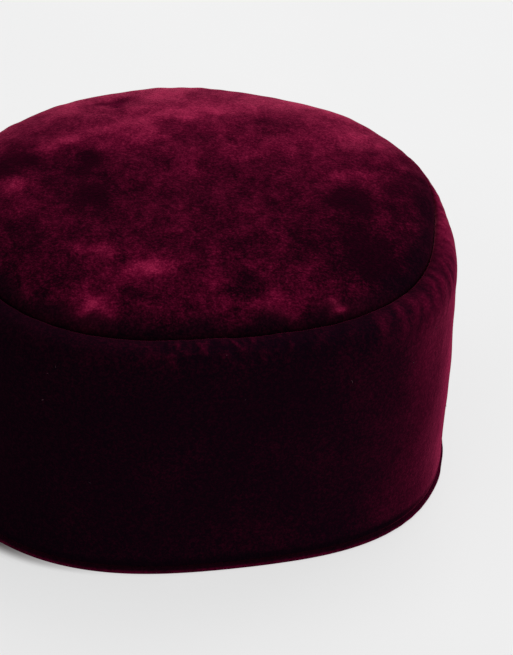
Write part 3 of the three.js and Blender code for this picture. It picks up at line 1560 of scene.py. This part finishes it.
@dataclass
class Lint:
    """The few pale fibres that cling to velvet, thickest along the seam."""

    band: TurnedCloth
    count: int = 30
    thickness: float = 0.10 * MM
    spread: float = 22.0 * MM  # how far below the crest most of them lie
    lowest: float = 8 * MM

    def build(self) -> None:
        """Makes every fibre, all in one piece."""
        draw = np.random.default_rng(71)
        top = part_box(SideBand.NODE)[1].z
        threads = Threads(self.thickness / 2, sides=5)
        for _ in range(self.count):
            angle = draw.uniform(0.0, FULL_TURN)
            height = top - draw.exponential(self.spread)
            spot = self.band.nearest(angle, max(height, self.lowest))
            out = np.array([math.cos(angle), math.sin(angle), 0.35])
            along = np.cross(out, draw.normal(size=3))
            along /= np.linalg.norm(along)
            aside = np.cross(out, along)
            ends = np.linspace(-1.0, 1.0, 5)[:, None]
            reach = ends * draw.uniform(0.15, 0.55) * MM
            bend = ends**2 * draw.uniform(-0.25, 0.25) * MM
            threads.add(spot + out * 0.06 * MM + along * reach + aside * bend)
        show(threads.piece("lint_fibres", LINT_FIBRE), None)


# ---- the studio -----------------------------------------------------------


@dataclass
class Studio:
    """A pale paper ground, soft light from above and behind on the right, and the camera."""

    outline: Outline
    elevation: float = 32.5  # degrees above the horizon, to the camera
    distance: float = 855 * MM
    aim_height: float = 40.5 * MM
    aim_right: float = 0.027  # how far the camera looks past the hat's middle, in radians
    aim_up: float = -0.004
    roll: float = 0.046
    lens: float = 138.4
    sensor: float = 36.0
    sky: float = 0.72
    ground: float = 24.0  # width of the paper
    ground_steps: int = 180

    DIM_SIDE = Stretch(-170, -134, 32)  # where the hat keeps the light off the paper
    # How far each ring of the paper lies past the hat's edge, in mm.
    RINGS = (-60.0, -2.0, 0.0, 0.5, 1.0, 1.5, 2.0, 3.0, 4.0, 5.0, 6.5, 9.0, 40.0)
    SOFTBOX_COLOUR = (1.0, 0.99, 0.98)
    SKY_COLOUR = (0.985, 0.99, 1.0)

    def lay_paper(self) -> None:
        """Lays the paper ground, in rings that spread from the hat's lower edge."""
        angles = np.linspace(0.0, FULL_TURN, self.ground_steps, endpoint=False)
        edge = self.outline.mean_radius(EdgeRoll.NODE)
        radii = np.append(edge + np.array(self.RINGS) * MM, self.ground / 2)[:, None]
        corners = self.outline.place(radii, angles[None, :], np.zeros((1, 1)))
        numbers = np.arange(corners[..., 0].size).reshape(len(radii), len(angles))
        inner, outer = numbers[:-1], numbers[1:]
        sides = [inner, outer, np.roll(outer, -1, axis=1), np.roll(inner, -1, axis=1)]
        quads = np.stack(sides, axis=-1)
        side = self.DIM_SIDE.share(angles)
        dim = side * ease(radii - edge, (2.2 + 5.0 * side) * MM, 1.4 * MM)
        paper = mesh_piece(
            "paper_ground",
            corners.reshape(-1, 3),
            quads.reshape(-1, 4),
            np.zeros(quads[..., 0].size),
            (PAPER.material(),),
            {"dim": dim.ravel()},
        )

    def light(self, name: str, place: Vector, size: float, power: float) -> None:
        """Hangs a square softbox that faces the hat.

        Args:
            name: The light's name.
            place: Where its middle is.
            size: Its side.
            power: In watts.
        """
        lamp = bpy.data.lights.new(name, "AREA")
        lamp.shape = "SQUARE"
        lamp.size = size
        lamp.energy = power
        lamp.color = self.SOFTBOX_COLOUR
        hung = bpy.data.objects.new(name, lamp)
        hung.location = place
        hung.rotation_euler = (Vector((0, 0, 0.05)) - place).to_track_quat("-Z", "Y").to_euler()
        bpy.context.scene.collection.objects.link(hung)

    def light_room(self) -> None:
        """Lights the room evenly, with softboxes above and behind on the right, and at the side."""
        world = bpy.data.worlds.new("studio_room")
        world.use_nodes = True
        sky = world.node_tree.nodes["Background"]
        sky.inputs["Color"].default_value = (*self.SKY_COLOUR, 1.0)
        sky.inputs["Strength"].default_value = self.sky
        bpy.context.scene.world = world
        self.light("overhead_softbox", Vector((0.7, 1.3, 2.2)), size=1.8, power=42.0)
        self.light("side_softbox", Vector((1.9, 0.1, 0.7)), size=0.9, power=16.0)
        bpy.context.scene.view_settings.view_transform = "Standard"

    def set_camera(self) -> None:
        """Sets the camera at the height and slant that the hat is seen from."""
        slant = math.radians(self.elevation)
        back = Vector((0.0, -math.cos(slant), math.sin(slant)))
        middle = Vector((*self.outline.centre, self.aim_height))
        upright = Vector((0.0, math.sin(slant), math.cos(slant)))
        forward = -back + Vector((math.tan(self.aim_right), 0, 0)) + upright * math.tan(self.aim_up)
        forward.normalize()
        right = forward.cross(Vector((0, 0, 1))).normalized()
        up = right.cross(forward)
        rolled_right = right * math.cos(self.roll) + up * math.sin(self.roll)
        rolled_up = up * math.cos(self.roll) - right * math.sin(self.roll)
        lens = bpy.data.cameras.new("studio_camera")
        lens.lens = self.lens
        lens.sensor_width = self.sensor
        camera = bpy.data.objects.new("studio_camera", lens)
        turn = Matrix((rolled_right, rolled_up, -forward)).transposed().to_4x4()
        camera.matrix_world = Matrix.Translation(middle + back * self.distance) @ turn
        bpy.context.scene.collection.objects.link(camera)
        bpy.context.scene.camera = camera

    def build(self) -> None:
        """Sets up the whole studio."""
        self.lay_paper()
        self.light_room()
        self.set_camera()


def main() -> None:
    """Builds the studio and the hat, piece by piece."""
    logging.basicConfig(level=logging.INFO, format="%(name)s: %(message)s")
    outline = Outline.of(CrownTip.NODE)
    Studio(outline).build()
    CrownTip(outline).build()
    band = SideBand(outline).build()
    EdgeRoll(outline).build()
    SeamStitches(outline).build()
    Lint(band).build()


if __name__ == "__main__":
    main()
